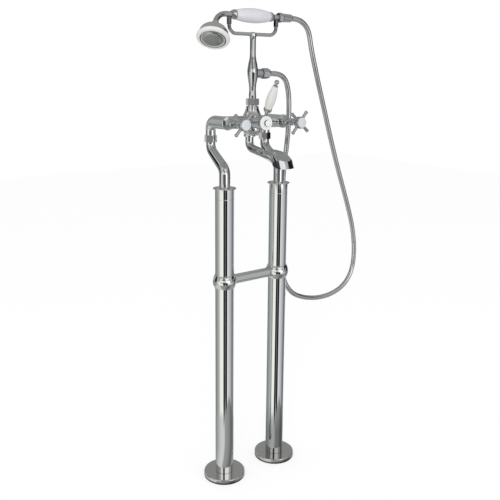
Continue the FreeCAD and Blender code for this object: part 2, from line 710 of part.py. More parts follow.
def fan_section(y, half_w, top, bottom, squareness):
    """A closed smooth section across the fan."""
    points = []
    for i in range(FAN_POINTS):
        angle = 2 * math.pi * i / FAN_POINTS
        across = math.cos(angle)
        along = math.sin(angle)
        x = half_w * math.copysign(abs(across) ** (2 / squareness), across)
        z = (top + bottom) / 2 + (top - bottom) / 2 * math.copysign(abs(along) ** (2 / squareness), along)
        points.append(V(x, y, z))
    curve = Part.BSplineCurve()
    curve.interpolate(Points=points, PeriodicFlag=True)
    return Part.Wire(curve.toShape())


def spout():
    """Bent tube that opens into a fan with a bowed lip."""
    fall = math.radians(SPOUT_FALL)
    turn = math.pi / 2 - fall
    corner = V(0, SPOUT_Y, SPOUT_BEND_Z - SPOUT_BEND_R * math.tan(turn / 2))
    run = (SPOUT_Y - SPOUT_NECK_Y) / math.cos(fall)
    neck = corner + V(0, -math.cos(fall), -math.sin(fall)) * run
    path = rounded_path([V(0, SPOUT_Y, SPOUT_BOSS_Z), corner, neck], [SPOUT_BEND_R])
    inside = tube(path, SPOUT_R - SPOUT_WALL)

    fan = Part.makeLoft([fan_section(*section) for section in FAN], True, False)
    beyond = 2 * LIP_APEX_Y
    lip_side = Part.makePolygon([
        V(-LIP_HALF_W, LIP_BACK_Y, LIP_TOP_Z),
        V(-LIP_HALF_W, LIP_BACK_Y, LIP_BOTTOM_Z + LIP_HEEL),
        V(-LIP_HALF_W, LIP_HEEL_Y, LIP_BOTTOM_Z),
        V(-LIP_HALF_W, beyond, LIP_BOTTOM_Z),
        V(-LIP_HALF_W, beyond, LIP_TOP_Z),
        V(-LIP_HALF_W, LIP_BACK_Y, LIP_TOP_Z),
    ])
    lip = Part.Face(lip_side).extrude(RIGHT * 2 * LIP_HALF_W)
    front = Part.makeLoft([front_outline(LIP_BOTTOM_Z), front_outline(SPOUT_BOSS_Z)], True, True)
    shape = fan.fuse(lip).common(front).fuse(tube(path, SPOUT_R))
    mouth_w = 2 * MOUTH_HALF_W
    mouth_y = MOUTH_BACK_Y - MOUTH_FRONT_Y
    mouth = Part.makeBox(mouth_w, mouth_y, MOUTH_DEPTH, V(-MOUTH_HALF_W, MOUTH_FRONT_Y, LIP_BOTTOM_Z))
    shape = shape.cut(inside).cut(mouth)
    parts["spout"] = shape

    screen = Part.makeBox(mouth_w, mouth_y, AERATOR_T, V(-MOUTH_HALF_W, MOUTH_FRONT_Y,
                                                         LIP_BOTTOM_Z + MOUTH_DEPTH - AERATOR_T))
    slots = 7
    pitch = mouth_w / slots
    for i in range(slots):
        x = -MOUTH_HALF_W + pitch * (i + 0.5)
        screen = screen.cut(Part.makeBox(2, mouth_y - 5, AERATOR_T,
                                         V(x - 1, MOUTH_FRONT_Y + 2.5, LIP_BOTTOM_Z + MOUTH_DEPTH - AERATOR_T)))
    parts["spout_screen"] = screen


# ---- riser and cradle ---------------------------------------------------------------------------------------
def riser():
    axis = V(0, BODY_Y, 0)
    foot = RISER_FOOT_Z
    lip_z = RISER_NUT_Z + RISER_NUT_H - RISER_FOOT_LIP
    nut = hexagon(RISER_NUT_AF, RISER_NUT_H, axis + UP * RISER_NUT_Z, turn=10)
    nut = nut.cut(rod(RISER_NECK_R, lip_z - RISER_NUT_Z, axis + UP * RISER_NUT_Z))
    parts["riser_nut"] = nut.cut(rod(RISER_FOOT_R, RISER_NUT_H, axis + UP * RISER_NUT_Z))

    belly = foot + RISER_BELLY_AT
    column = turned([
        (0, foot),
        (RISER_NECK_R, foot),
        (RISER_NECK_R, lip_z),
        (RISER_FOOT_R, lip_z),
        (RISER_FOOT_R, lip_z + 12),
        (RISER_FOOT_R - 0.7, belly - 50, RISER_FOOT_R, belly - 31),
        (RISER_BELLY_R - 2.2, belly - 18, RISER_BELLY_R, belly),
        (RISER_BELLY_R - 2.2, belly + 18, RISER_FOOT_R - 0.4, belly + 31),
        (RISER_NARROW_R + 0.3, belly + 42, RISER_NARROW_R, belly + 52),
        (RISER_NARROW_R, RISER_TOP_Z - 8),
        (RISER_NARROW_R + 0.4, RISER_TOP_Z - 3.5, CRADLE_BOSS_R, RISER_TOP_Z),
        (0, RISER_TOP_Z),
    ], axis)
    outlet = V(0, BODY_Y, OUTLET_Z)
    column = column.fuse(turned([
        (0, 0),
        (OUTLET_R, 0),
        (OUTLET_R, OUTLET_END - 8),
        (OUTLET_R - 2, OUTLET_END - 6),
        (OUTLET_SPIGOT_R, OUTLET_END - 6),
        (OUTLET_SPIGOT_R, OUTLET_END + 6),
        (0, OUTLET_END + 6),
    ], outlet, RIGHT))
    column = column.cut(rod(RISER_BORE_R, OUTLET_Z - foot, axis + UP * foot))
    parts["riser_column"] = column.cut(rod(RISER_BORE_R, OUTLET_END + 6, outlet, RIGHT))

    nut_at = V(OUTLET_END - 4, BODY_Y, OUTLET_Z)
    length = OUTLET_NUT_LEN + 4
    blank = hexagon(OUTLET_NUT_AF, length, nut_at, RIGHT, turn=15)
    taper = turned([
        (0, 0),
        (OUTLET_NUT_AF, 0),
        (OUTLET_NUT_AF, length - 10),
        (OUTLET_NUT_AF / 2 + 1, length - 9),
        (OUTLET_NUT_AF / 2 - 0.6, length - 3, OUTLET_NUT_NOSE_R, length),
        (0, length),
    ], nut_at, RIGHT)
    nut = blank.common(taper)
    parts["outlet_nut"] = nut.cut(rod(OUTLET_SPIGOT_R, 10, nut_at, RIGHT))


def cradle():
    """Fork that carries the hand shower in a saddle at each end."""
    left = V(-CRADLE_HALF, BODY_Y, CRADLE_Z)
    right = V(CRADLE_HALF, BODY_Y, CRADLE_Z)
    saddle_foot = HANDSET_Z - SADDLE_FOOT_DROP
    rise = UP * (saddle_foot + 2 - CRADLE_Z)
    path = rounded_path([left + rise, left, right, right + rise], [CRADLE_BEND_R, CRADLE_BEND_R])
    fork = tube(path, CRADLE_R)
    fork = fork.fuse(turned([
        (0, RISER_TOP_Z),
        (CRADLE_BOSS_R, RISER_TOP_Z),
        (CRADLE_BOSS_R, RISER_TOP_Z + CRADLE_BOSS_TOP),
        dome(CRADLE_BOSS_R, RISER_TOP_Z + CRADLE_BOSS_TOP, CRADLE_BOSS_DOME),
    ], V(0, BODY_Y, 0)))
    groove = rod(NECK_R + SEAT, 4 * CRADLE_HALF, V(-2 * CRADLE_HALF, BODY_Y, HANDSET_Z), RIGHT)
    for x in (-CRADLE_HALF, CRADLE_HALF):
        low = V(x - SADDLE_X / 2, BODY_Y - SADDLE_Y / 2, saddle_foot)
        high = V(x + SADDLE_X / 2, BODY_Y + SADDLE_Y / 2, HANDSET_Z - SADDLE_TOP_DROP)
        fork = fork.fuse(soft_box(low, high, 1.5).cut(groove))
    parts["cradle_fork"] = fork


# ---- hand shower --------------------------------------------------------------------------------------------
def handset():
    axis = V(0, BODY_Y, HANDSET_Z)
    roll = math.radians(HEAD_ROLL)
    turn = math.radians(HEAD_BEND_TURN)
    down = V(0, -math.sin(roll), -math.cos(roll))
    heading = RIGHT * -math.cos(turn) + down * math.sin(turn)
    corner = axis + RIGHT * (HEAD_BEND_X - HEAD_BEND_R * math.tan(turn / 2))
    bend_end = corner + heading * (HEAD_BEND_R * math.tan(turn / 2))
    neck_start = axis + RIGHT * (GRIP_FROM - FERRULE_T)
    path = rounded_path([neck_start, corner, bend_end + heading * 8], [HEAD_BEND_R])
    neck = tube(path, NECK_R).fuse(rod(INNER_TUBE_R, GRIP_TO - neck_start.x, neck_start, RIGHT))
    bore = tube(path, NECK_BORE_R).fuse(rod(NECK_BORE_R, GRIP_TO - neck_start.x, neck_start, RIGHT))
    parts["handset_neck"] = neck.cut(bore)

    parts["head_ferrule"] = turned([
        (INNER_TUBE_R, 0),
        (NECK_R + 1.2, 0),
        (FERRULE_OUTER_R - 1.5, 4.5, FERRULE_OUTER_R, 9),
        (FERRULE_OUTER_R, FERRULE_T),
        (INNER_TUBE_R, FERRULE_T),
    ], neck_start, RIGHT)

    length = GRIP_TO - GRIP_FROM
    parts["handset_grip"] = turned([
        (INNER_TUBE_R, 0),
        (GRIP_END_R - 1, 0),
        (GRIP_END_R, 1),
        (GRIP_R - 1.6, 0.24 * length, GRIP_R, 0.5 * length),
        (GRIP_R - 1.6, 0.76 * length, GRIP_END_R, length - 1),
        (GRIP_END_R - 1, length),
        (INNER_TUBE_R, length),
    ], axis + RIGHT * GRIP_FROM, RIGHT)

    tail_len = TAIL_END - GRIP_TO
    parts["tail_connector"] = turned([
        (NECK_BORE_R, 0),
        (FERRULE_OUTER_R, 0),
        (FERRULE_OUTER_R, FERRULE_T - 9),
        (FERRULE_OUTER_R - 1.5, FERRULE_T - 4.5, NECK_R + 1.2, FERRULE_T),
        (NECK_R, FERRULE_T),
        (NECK_R, tail_len + 8),
        (NECK_BORE_R, tail_len + 8),
    ], axis + RIGHT * GRIP_TO, RIGHT)

    nut_at = axis + RIGHT * TAIL_END
    flats = hexagon(2 * HOSE_NUT_R, HOSE_NUT_HEX_LEN, nut_at, RIGHT, turn=15)
    sleeve_end = HOSE_NUT_LEN - HOSE_NUT_NOSE_LEN
    sleeve = turned([
        (0, 0),
        (HOSE_NUT_END_R - 1, 0),
        (HOSE_NUT_END_R - 1, HOSE_NUT_HEX_LEN + 1),
        (HOSE_NUT_R, HOSE_NUT_HEX_LEN + 2),
        (HOSE_NUT_END_R, sleeve_end),
        (HOSE_NUT_END_R - 0.5, HOSE_NUT_LEN - 2, HOSE_NUT_NOSE_R, HOSE_NUT_LEN),
        (0, HOSE_NUT_LEN),
    ], nut_at, RIGHT)
    parts["handset_hose_nut"] = flats.fuse(sleeve).cut(rod(NECK_R, 8, nut_at, RIGHT))

    inner = BELL_R - BELL_WALL
    parts["rose_bell"] = turned([
        (NECK_R, 0),
        (NECK_R + 1.8, 0),
        (NECK_R + 2.2, 6),
        (NECK_R + 7.5, 14.0, BELL_R - 12.0, 18),
        (BELL_R - 3.4, 25.5, BELL_R, 35),
        (BELL_R, BELL_LEN),
        (inner, BELL_LEN),
        (inner, 36),
        (BELL_R - 7, 27.5, BELL_R - 14.0, 21),
        (NECK_R + 3, 16),
        (NECK_R, 9),
    ], bend_end, heading)

    ring_from = bend_end + heading * (HEAD_REACH - RING_HALF_T)
    parts["rose_ring"] = turned([
        (SPRAY_R, 0),
        (RING_R - 3.5, 0),
        (RING_R, RING_HALF_T, RING_R - 3.5, 2 * RING_HALF_T),
        (SPRAY_R, 2 * RING_HALF_T),
    ], ring_from, heading)

    spray_from = ring_from + heading * (2 * RING_HALF_T - SPRAY_T)
    parts["spray_plate"] = turned([
        (0, 0),
        (SPRAY_R, 0),
        (SPRAY_R, SPRAY_T - 0.5),
        (SPRAY_R - 2, SPRAY_T),
        dome(SPRAY_R - 2, SPRAY_T, SPRAY_PROUD),
    ], spray_from, heading)


# ---- hose ---------------------------------------------------------------------------------------------------
def hose():
    radii = corner_radii(HOSE_ROUTE)
    path = rounded_path(HOSE_ROUTE, radii)
    body = tube(path, HOSE_R)
    runs = [(b - a).Length for a, b in zip(HOSE_ROUTE, HOSE_ROUTE[1:])]
    ratio = body.Volume / (math.pi * HOSE_R ** 2 * path.Length)
    print("hose length", round(path.Length, 1), "volume ratio", round(ratio, 4))
    print("hose radii", [round(r) for r in radii])
    print("hose runs", [round(r) for r in runs])
    parts["hose"] = body


# ---- build --------------------------------------------------------------------------------------------------
for side, sign in SIDES.items():
    stand(side, sign * INLET_SPACING / 2)
    cranked_leg(side, sign * INLET_SPACING / 2)
    inlet_elbow(side, sign * INLET_SPACING / 2)
    valve(side, sign * INLET_SPACING / 2)
crossbar()
mixer_body()
diverter()
spout()
riser()
cradle()
handset()
hose()

os.makedirs("parts", exist_ok=True)
for name, shape in parts.items():
    clean = shape if name == "hose" else shape.removeSplitter()
    if len(clean.Solids) == 1:
        clean = clean.Solids[0]
    if not clean.isValid() or len(clean.Solids) != 1:
        print("look at", name, "valid", clean.isValid(), "solids", len(clean.Solids))
    clean.exportStep("parts/" + name + ".step")
print(len(parts), "parts")
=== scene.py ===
"""Floor standing bath filler: looks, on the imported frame. Metres, +Z up, -Y the bath side."""

import math

import bpy
import bmesh
from mathutils import Matrix, Vector


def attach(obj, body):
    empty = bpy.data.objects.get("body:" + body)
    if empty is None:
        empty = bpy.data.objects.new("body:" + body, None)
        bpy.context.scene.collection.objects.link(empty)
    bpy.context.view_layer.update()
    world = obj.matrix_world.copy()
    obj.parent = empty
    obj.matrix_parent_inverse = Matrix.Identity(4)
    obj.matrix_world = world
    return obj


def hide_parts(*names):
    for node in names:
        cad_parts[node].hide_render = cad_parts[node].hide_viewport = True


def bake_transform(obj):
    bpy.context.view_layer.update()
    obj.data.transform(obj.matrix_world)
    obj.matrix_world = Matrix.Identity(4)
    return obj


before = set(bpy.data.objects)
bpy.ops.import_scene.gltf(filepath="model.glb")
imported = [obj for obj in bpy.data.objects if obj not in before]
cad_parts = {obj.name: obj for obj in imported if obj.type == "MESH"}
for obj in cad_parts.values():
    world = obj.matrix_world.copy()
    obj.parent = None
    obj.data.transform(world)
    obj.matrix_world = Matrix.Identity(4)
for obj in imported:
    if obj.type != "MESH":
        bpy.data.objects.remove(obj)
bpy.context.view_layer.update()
MM = 0.001
UP = Vector((0, 0, 1))


def new_object(name, data):
    """An object in the scene, at the origin."""
    thing = bpy.data.objects.new(name, data)
    bpy.context.scene.collection.objects.link(thing)
    return thing


def new_mesh(name, shape):
    """The mesh of a finished bmesh, which is then let go."""
    data = bpy.data.meshes.new(name)
    shape.to_mesh(data)
    shape.free()
    return data


# ---- camera -------------------------------------------------------------------------------------------
CAMERA_AT = Vector((-1.0795, -1.4404, 1.1136))
LOOK = Vector((0.5834, 0.7832, -0.2152))
LENS_PX = 678.86            # focal length in pixels of a 500 pixel frame
FRAME_PX = 500.0
SENSOR = 36.0
CENTRE_DROP_PX = 25.0       # the lens axis meets the frame this far above its middle
ROLL = 0.0087               # how far the camera leans, in radians


def make_camera():
    """The camera, where the fit to the photograph puts it."""
    data = bpy.data.cameras.new("camera")
    data.sensor_width = SENSOR
    data.lens = LENS_PX / FRAME_PX * SENSOR
    data.shift_y = -CENTRE_DROP_PX / FRAME_PX
    camera = new_object("camera", data)
    forward = LOOK.normalized()
    side = forward.cross(UP).normalized()
    up = side.cross(forward)
    right = side * math.cos(ROLL) + up * math.sin(ROLL)
    top = up * math.cos(ROLL) - side * math.sin(ROLL)
    turn = Matrix((right, top, -forward)).transposed()
    camera.matrix_world = Matrix.Translation(CAMERA_AT) @ turn.to_4x4()
    bpy.context.scene.camera = camera


make_camera()

# ---- colours and nodes --------------------------------------------------------------------------------
# A Mix node's colour sockets share their names with its number sockets, so they go by number.
MIX_A, MIX_B, MIXED = 6, 7, 2


def srgb(text):
    """A hex sRGB colour as the linear RGBA that a shader takes."""
    values = [int(text[i:i + 2], 16) / 255 for i in (1, 3, 5)]
    return [v / 12.92 if v <= 0.04045 else ((v + 0.055) / 1.055) ** 2.4 for v in values] + [1.0]


def fill(tree, node, inputs):
    """Joins each input of a node to a socket, or gives it a value."""
    for key, value in inputs.items():
        if isinstance(value, bpy.types.NodeSocket):
            tree.links.new(value, node.inputs[key])
        else:
            node.inputs[key].default_value = value


def add(tree, kind, inputs, **settings):
    """Adds a node with its settings, and fills its inputs."""
    node = tree.nodes.new(kind)
    for key, value in settings.items():
        setattr(node, key, value)
    fill(tree, node, inputs)
    return node


def new_material(name):
    """A material, its node tree, its shader and the piece's own coordinates."""
    material = bpy.data.materials.new(name)
    material.use_nodes = True
    tree = material.node_tree
    place = add(tree, "ShaderNodeTexCoord", {}).outputs["Object"]
    return material, tree, tree.nodes["Principled BSDF"], place


def mottled(tree, place, tint, shade, size, detail):
    """A colour that drifts between two tones, in clouds of the given size."""
    cloud = add(tree, "ShaderNodeTexNoise", {"Vector": place, "Scale": 1 / size, "Detail": detail})
    tones = {"Factor": cloud.outputs["Fac"], MIX_A: srgb(tint), MIX_B: srgb(shade)}
    return add(tree, "ShaderNodeMix", tones, data_type="RGBA").outputs[MIXED]


# ---- kinds of finish ----------------------------------------------------------------------------------
MIRROR = (0.02, 0.05)           # range of roughness of brass buffed to a mirror before it is plated
POLISHED = (0.03, 0.06)         # of tube and sheet as polished
WOUND = (0.05, 0.10)            # of steel strip as wound
GLAZE = {"Roughness": 0.22, "IOR": 1.5, "Coat Weight": 0.7, "Coat Roughness": 0.03, "Coat IOR": 1.5}
GLAZE_DEPTH, RIM_FROM = 0.5 * MM, 0.8 * MM      # where the button's glaze ends and its bare rim begins
SHADED_WAVE, SHADED_SIZE = 0.006 * MM, 30 * MM  # depth and breadth of the waves in chrome with painted shade
SEAM_HALF = 0.6 * MM            # half the width of the painted shadow line at a seam
SEAM_SHADOW_TINT = "#3a3a38"


def make_plated(name, tint, gloss, wave, size):
    """Bright metal: a mirror, with the faint waves, of this depth and breadth, that polishing leaves."""
    material, tree, shader, place = new_material(name)
    waves = {"Vector": place, "Scale": 1 / size, "Detail": 2.0}
    buffing = add(tree, "ShaderNodeTexNoise", waves).outputs["Fac"]
    rough = add(tree, "ShaderNodeMapRange", {"Value": buffing, "To Min": gloss[0], "To Max": gloss[1]})
    bump = add(tree, "ShaderNodeBump", {"Height": buffing, "Strength": 1.0, "Distance": wave})
    fill(tree, shader, {"Base Color": srgb(tint), "Metallic": 1.0, "Roughness": rough.outputs["Result"],
                        "Normal": bump.outputs["Normal"]})
    return material


def make_shaded(name, below, above, bottom, top, seam=None):
    """Chrome plate with painted shade: one tint below a height and another above it, and a painted shadow
    line round it at a seam.
    """
    material = make_plated(name, below, MIRROR, SHADED_WAVE, SHADED_SIZE)
    tree = material.node_tree
    place = add(tree, "ShaderNodeTexCoord", {}).outputs["Object"]
    height = add(tree, "ShaderNodeSeparateXYZ", {"Vector": place}).outputs["Z"]
    # painted shade: the tint changes with height
    share = add(tree, "ShaderNodeMapRange", {"Value": height, "From Min": bottom, "From Max": top})
    tints = {"Factor": share.outputs["Result"], MIX_A: srgb(below), MIX_B: srgb(above)}
    tint = add(tree, "ShaderNodeMix", tints, data_type="RGBA").outputs[MIXED]
    # painted shadow: a dark line standing in for the shade in the gap where the pipe meets the flange
    if seam:
        near = add(tree, "ShaderNodeMath", {0: height, 1: seam, 2: SEAM_HALF}, operation="COMPARE")
        tints = {"Factor": near.outputs["Value"], MIX_A: tint, MIX_B: srgb(SEAM_SHADOW_TINT)}
        tint = add(tree, "ShaderNodeMix", tints, data_type="RGBA").outputs[MIXED]
    fill(tree, tree.nodes["Principled BSDF"], {"Base Color": tint})
    return material


def make_glazed(name, tint, shade, size):
    """Glazed porcelain: a white body under a clear glossy glaze, a little uneven in tone."""
    material, tree, shader, place = new_material(name)
    fill(tree, shader, {"Base Color": mottled(tree, place, tint, shade, size, 3.0), **GLAZE})
    return material


def make_button(name, tint, side):
    """A porcelain face in a metal rim: the piece is glazed at its front, and metal behind that, in a dark
    tint that is painted shade.
    """
    material, tree, shader, place = new_material(name)
    front = min(v.co.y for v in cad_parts["diverter_button"].data.vertices)
    depth = add(tree, "ShaderNodeSeparateXYZ", {"Vector": place}).outputs["Y"]
    span = {"Value": depth, "From Min": front + GLAZE_DEPTH, "From Max": front + RIM_FROM}
    rim = add(tree, "ShaderNodeMapRange", span).outputs["Result"]
    # the rim's dark tint is painted shade on the button's side wall
    tone = add(tree, "ShaderNodeMix", {"Factor": rim, MIX_A: srgb(tint), MIX_B: srgb(side)}, data_type="RGBA")
    fill(tree, shader, {"Base Color": tone.outputs[MIXED], "Metallic": rim, **GLAZE})
    return material


def make_dull(name, tint, shade, metallic, roughness, size):
    """A plain finish with a mottled tone."""
    material, tree, shader, place = new_material(name)
    fill(tree, shader, {"Base Color": mottled(tree, place, tint, shade, size, 4.0), "Metallic": metallic,
                        "Roughness": roughness})
    return material


# ---- the filler's finishes ----------------------------------------------------------------------------
COVER_TOP = 13.5 * MM           # top of the floor flange

# Chrome on drawn brass tube: long, even reflections that run the length of the tube.
tube_plate = make_plated("chrome_plated_tube", "#e6e8e8", POLISHED, 0.004 * MM, 80 * MM)
# Chrome on the large buffed castings: sharp reflections that waver a little from place to place.
body_plate = make_plated("chrome_plated_body", "#e6e8e6", MIRROR, 0.01 * MM, 20 * MM)
# Chrome on the small castings: the same mirror, painted a shade darker, as each piece sees the others close
# by.
shaded_cast_plate = make_plated("chrome_plated_casting", "#d2d4d5", MIRROR, 0.01 * MM, 20 * MM)
# The riser's chrome: a little darker above the hose outlet, as painted shade for the darker things it mirrors
# there.
riser_plate = make_shaded("chrome_plated_riser", "#c8cacb", "#b2b4b5", bottom=1.13, top=1.18)
# The cradle's chrome: bright along its bar, and painted darker in its uprights, a painted reflection of the
# hand shower they see.
fork_plate = make_shaded("chrome_plated_cradle", "#d2d4d5", "#7a7c7e", bottom=1.218, top=1.232)
# The lower standpipes' chrome: a dark line of painted shadow shows where the flange's top meets each, and the
# right one is greyer near the floor, with painted shade from the stand.
left_foot_plate = make_shaded("chrome_plated_left_foot", "#e6e8e8", "#e6e8e8", bottom=0.1, top=0.2,
                              seam=COVER_TOP)
right_foot_plate = make_shaded("chrome_plated_right_foot", "#b4b6b6", "#e6e8e8", bottom=0.09, top=0.17,
                               seam=COVER_TOP)
# The flange's chrome: a dark foot under a bright top; the dark is painted shade, for the rim mirroring its
# own shadow.
disc_plate = make_shaded("chrome_plated_flange", "#5c5c5a", "#dededc", bottom=0.003, top=0.007)
# The diverter's button: a pure white glazed face inside a line of metal rim, tinted dark as painted shade on
# its side wall.
button_glaze = make_button("porcelain_button_in_chrome_rim", "#fafafa", "#46484a")
# Polished sheet steel: a soft grey, partly the steel's own and partly painted shade, as it faces down.
face_plate = make_plated("spray_face_plate", "#bdbcb9", POLISHED, 0.004 * MM, 12 * MM)
# Fine turned steel: a pale ring with no sharp reflection, since its turning marks scatter the light; its pale
# tone is a painted highlight, for the bright arc that the groove's wall mirrors.
bevel_plate = make_dull("spray_face_bevel", "#d2d2ce", "#c8c8c4", 0.3, 0.35, 10 * MM)
# Stainless strip wound into a hose: bright streaks along it, broken up at each turn.
hose_steel = make_plated("stainless_hose_winding", "#d8dadb", WOUND, 0.006 * MM, 4 * MM)
# Glazed porcelain grip: white with a cool cast, and a clear gloss.
grip_glaze = make_glazed("porcelain_grip_glaze", "#e3e2e6", "#dad9de", 30 * MM)
# Glazed porcelain lever: a warmer white.
lever_glaze = make_glazed("porcelain_lever_glaze", "#e6e7e2", "#dfe0db", 20 * MM)
# Index discs of the crossheads: porcelain with a bluish cast, uneven within a few millimetres.
handle_glaze = make_glazed("porcelain_handle_disc_glaze", "#e0e5e9", "#cfd5d9", 4 * MM)
# Disc behind the diverter's button: the whitest porcelain of all.
disc_glaze = make_glazed("porcelain_index_glaze", "#fbfbfb", "#f4f5f7", 10 * MM)
# The rose's ring, moulded in white plastic: as glossy as the porcelain, and a little creamier.
ring_white = make_glazed("moulded_white_ring", "#ececea", "#e5e5e2", 20 * MM)
# Drawn copper pipe: bright, with browner patches where it has tarnished.
copper = make_dull("copper_supply_pipe", "#b87350", "#9a5f40", 1.0, 0.3, 10 * MM)
# Moulded black rubber: nearly black, and matt.
rubber = make_dull("rubber_seal", "#2a2a2b", "#222223", 0.0, 0.6, 4 * MM)
# Galvanised steel: dull and pale grey, with patches of zinc crystals.
plate_steel = make_dull("galvanised_plate", "#a4a7a8", "#8c9092", 1.0, 0.45, 6 * MM)

# A piece takes its finish by its own name, or by its name without its side; the rest are small castings.
FINISHES = {
    "base_plate": plate_steel, "floor_flange": disc_plate, "supply_pipe": copper, "union_washer": rubber,
    "lower_standpipe_left": left_foot_plate, "lower_standpipe_right": right_foot_plate,
    "upper_standpipe": tube_plate, "ball_tee": body_plate, "crossbar": body_plate, "cap": body_plate,
    "inlet_elbow": body_plate, "mixer_body": body_plate, "index_disc": handle_glaze,
    "lever_grip": lever_glaze, "diverter_disc": disc_glaze, "diverter_button": button_glaze,
    "riser_column": riser_plate, "cradle_fork": fork_plate, "handset_grip": grip_glaze,
    "rose_bell": body_plate, "rose_ring": ring_white, "spray_plate": face_plate, "hose": hose_steel,
}
for name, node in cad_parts.items():
    kind = name.replace("_left", "").replace("_right", "")
    node.data.materials.clear()
    node.data.materials.append(FINISHES.get(name, FINISHES.get(kind, shaded_cast_plate)))

# ---- shower hose --------------------------------------------------------------------------------------
HOSE_ROUTE = [
    (0.055, 0.003, 1.119), (0.077, 0.003, 1.119), (0.096, 0.003, 1.1145), (0.111, 0.003, 1.1025),
    (0.120, 0.004, 1.0815), (0.126, 0.005, 1.048), (0.127, 0.006, 1.004), (0.127, 0.009, 0.944),
    (0.124, 0.018, 0.872), (0.127, 0.027, 0.804), (0.131, 0.031, 0.705), (0.128, 0.030, 0.612),
    (0.133, 0.025, 0.533), (0.163, 0.022, 0.487), (0.209, 0.020, 0.465), (0.268, 0.020, 0.452),
    (0.325, 0.020, 0.454), (0.378, 0.020, 0.473), (0.411, 0.020, 0.515), (0.417, 0.019, 0.578),
    (0.406, 0.018, 0.646), (0.382, 0.016, 0.713), (0.354, 0.014, 0.779), (0.322, 0.012, 0.854),
    (0.288, 0.010, 0.942), (0.256, 0.008, 1.030), (0.225, 0.005, 1.112), (0.200, 0.004, 1.187),
    (0.190, 0.003, 1.230), (0.173, 0.003, 1.251), (0.148, 0.003, 1.262), (0.1255, 0.003, 1.262),
]
HOSE_R = 7.0 * MM
HOSE_GROOVE = 0.45 * MM
HOSE_PITCH = 5.5 * MM       # over twice the real strip's pitch, so that the winding shows at this distance
# One turn of the strip, as shares of the pitch and of the groove's depth.
HOSE_TURN = ((0, -1), (0.1, -0.8), (0.18, 0), (0.86, 0), (0.93, -0.8), (1, -1))
HOSE_SIDES = 16
HOSE_JOIN = 0.02 * MM       # turns whose ends lie this close are joined
HOSE_EDGE = math.radians(28)        # the strip's folded edges stay sharp, and its sides do not show


def hose_line():
    """The hose's centreline, as a NURBS curve through the route's control points."""
    data = bpy.data.curves.new("hose_line", "CURVE")
    data.dimensions = "3D"
    data.resolution_u = 16
    spline = data.splines.new("NURBS")
    spline.points.add(len(HOSE_ROUTE) - 1)
    for point, at in zip(spline.points, HOSE_ROUTE):
        point.co = (*at, 1.0)
    spline.order_u = 3
    spline.use_endpoint_u = True
    return new_object("hose_line", data)


def evaluated_mesh(thing):
    """The mesh that Blender makes of an object, with its modifiers or its curve worked out."""
    bpy.context.view_layer.update()
    return bpy.data.meshes.new_from_object(thing.evaluated_get(bpy.context.evaluated_depsgraph_get()))


def line_points(line):
    """The points that Blender reads from a curve with no bevel."""
    mesh = evaluated_mesh(line)
    points = [v.co.copy() for v in mesh.vertices]
    bpy.data.meshes.remove(mesh)
    return points


def hose_turn(pitch):
    """One turn of the interlocked steel strip, from its groove over its crown and back."""
    shape = bmesh.new()
    ring = bmesh.ops.create_circle(shape, segments=HOSE_SIDES, radius=HOSE_R)["verts"]
    bmesh.ops.rotate(shape, verts=ring, cent=(0, 0, 0), matrix=Matrix.Rotation(math.pi / 2, 3, "Y"))
    edges = list(shape.edges)
    for share, depth in HOSE_TURN:
        if share > 0:
            new = bmesh.ops.extrude_edge_only(shape, edges=edges)["geom"]
            ring = [g for g in new if isinstance(g, bmesh.types.BMVert)]
            edges = [g for g in new if isinstance(g, bmesh.types.BMEdge)]
        for v in ring:
            across = Vector((0, v.co.y, v.co.z)).normalized() * (HOSE_R + depth * HOSE_GROOVE)
            v.co = Vector((share * pitch, across.y, across.z))
    bmesh.ops.recalc_face_normals(shape, faces=shape.faces)
    return new_mesh("hose_turn", shape)


def make_hose():
    """The hose: one turn of strip, repeated and bent along the centreline."""
    line = hose_line()
    points = line_points(line)
    length = sum((b - a).length for a, b in zip(points, points[1:]))
    turns = round(length / HOSE_PITCH)
    straight = new_object("hose_straight", hose_turn(length / turns))
    array = straight.modifiers.new("turns", "ARRAY")
    array.use_relative_offset = False
    array.use_constant_offset = True
    array.constant_offset_displace = (length / turns, 0, 0)
    array.count = turns
    array.use_merge_vertices = True
    array.merge_threshold = HOSE_JOIN
    along = straight.modifiers.new("along", "CURVE")
    along.object = line
    along.deform_axis = "POS_X"
    data = evaluated_mesh(straight)
    data.name = "hose_winding"
    data.materials.append(hose_steel)
    data.shade_smooth()
    data.set_sharp_from_angle(angle=HOSE_EDGE)
    hose = new_object("hose_winding", data)
    for scrap in (straight, line):
        bpy.data.objects.remove(scrap)
    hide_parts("hose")
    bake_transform(hose)


make_hose()

# ---- spray plate --------------------------------------------------------------------------------------
SPRAY_HEADING = Vector((-0.41310, -0.39636, -0.81990))
# Half of the plate's section, from its back to the middle of its front, as radius and height in mm.
SPRAY_OUTLINE = [
    (0, 0), (32.4, 0), (32.4, 3.3), (31.0, 3.4), (30.4, 3.9), (29.6, 4.2), (28.8, 4.2), (26.4, 2.9),
    (25.6, 2.9), (24.6, 4.2), (23.6, 4.7), (18, 5.05), (12, 5.3), (6, 5.45), (0, 5.5),
]
SPRAY_STEPS = 96
SPRAY_JOIN = 0.002 * MM
SPRAY_EDGE = math.radians(35)
GAP_FROM = 30.7 * MM            # outside this the plate's edge takes the black rubber, as painted shade for the dark gap beside the ring
BEVEL_FROM, BEVEL_TO = 26.4 * MM, 28.8 * MM     # the groove's outer wall, turned, and pale as a painted highlight
BEVEL_ABOVE = 2.5 * MM
NOZZLE_RINGS = ((7, 8), (11.5, 12), (16, 18), (20.5, 24))       # ring radius in mm, nozzles in it
NOZZLE_R = 0.75 * MM
NOZZLE_TIP = 0.6                # the tip's share of that radius
NOZZLE_LENGTH = 1.1 * MM
NOZZLE_MIDDLE = 5.1 * MM
NOZZLE_SIDES = 12
IN_RUBBER_AND_SHADE, IN_BEVEL = 1, 2      # slots of the plate's second and third materials


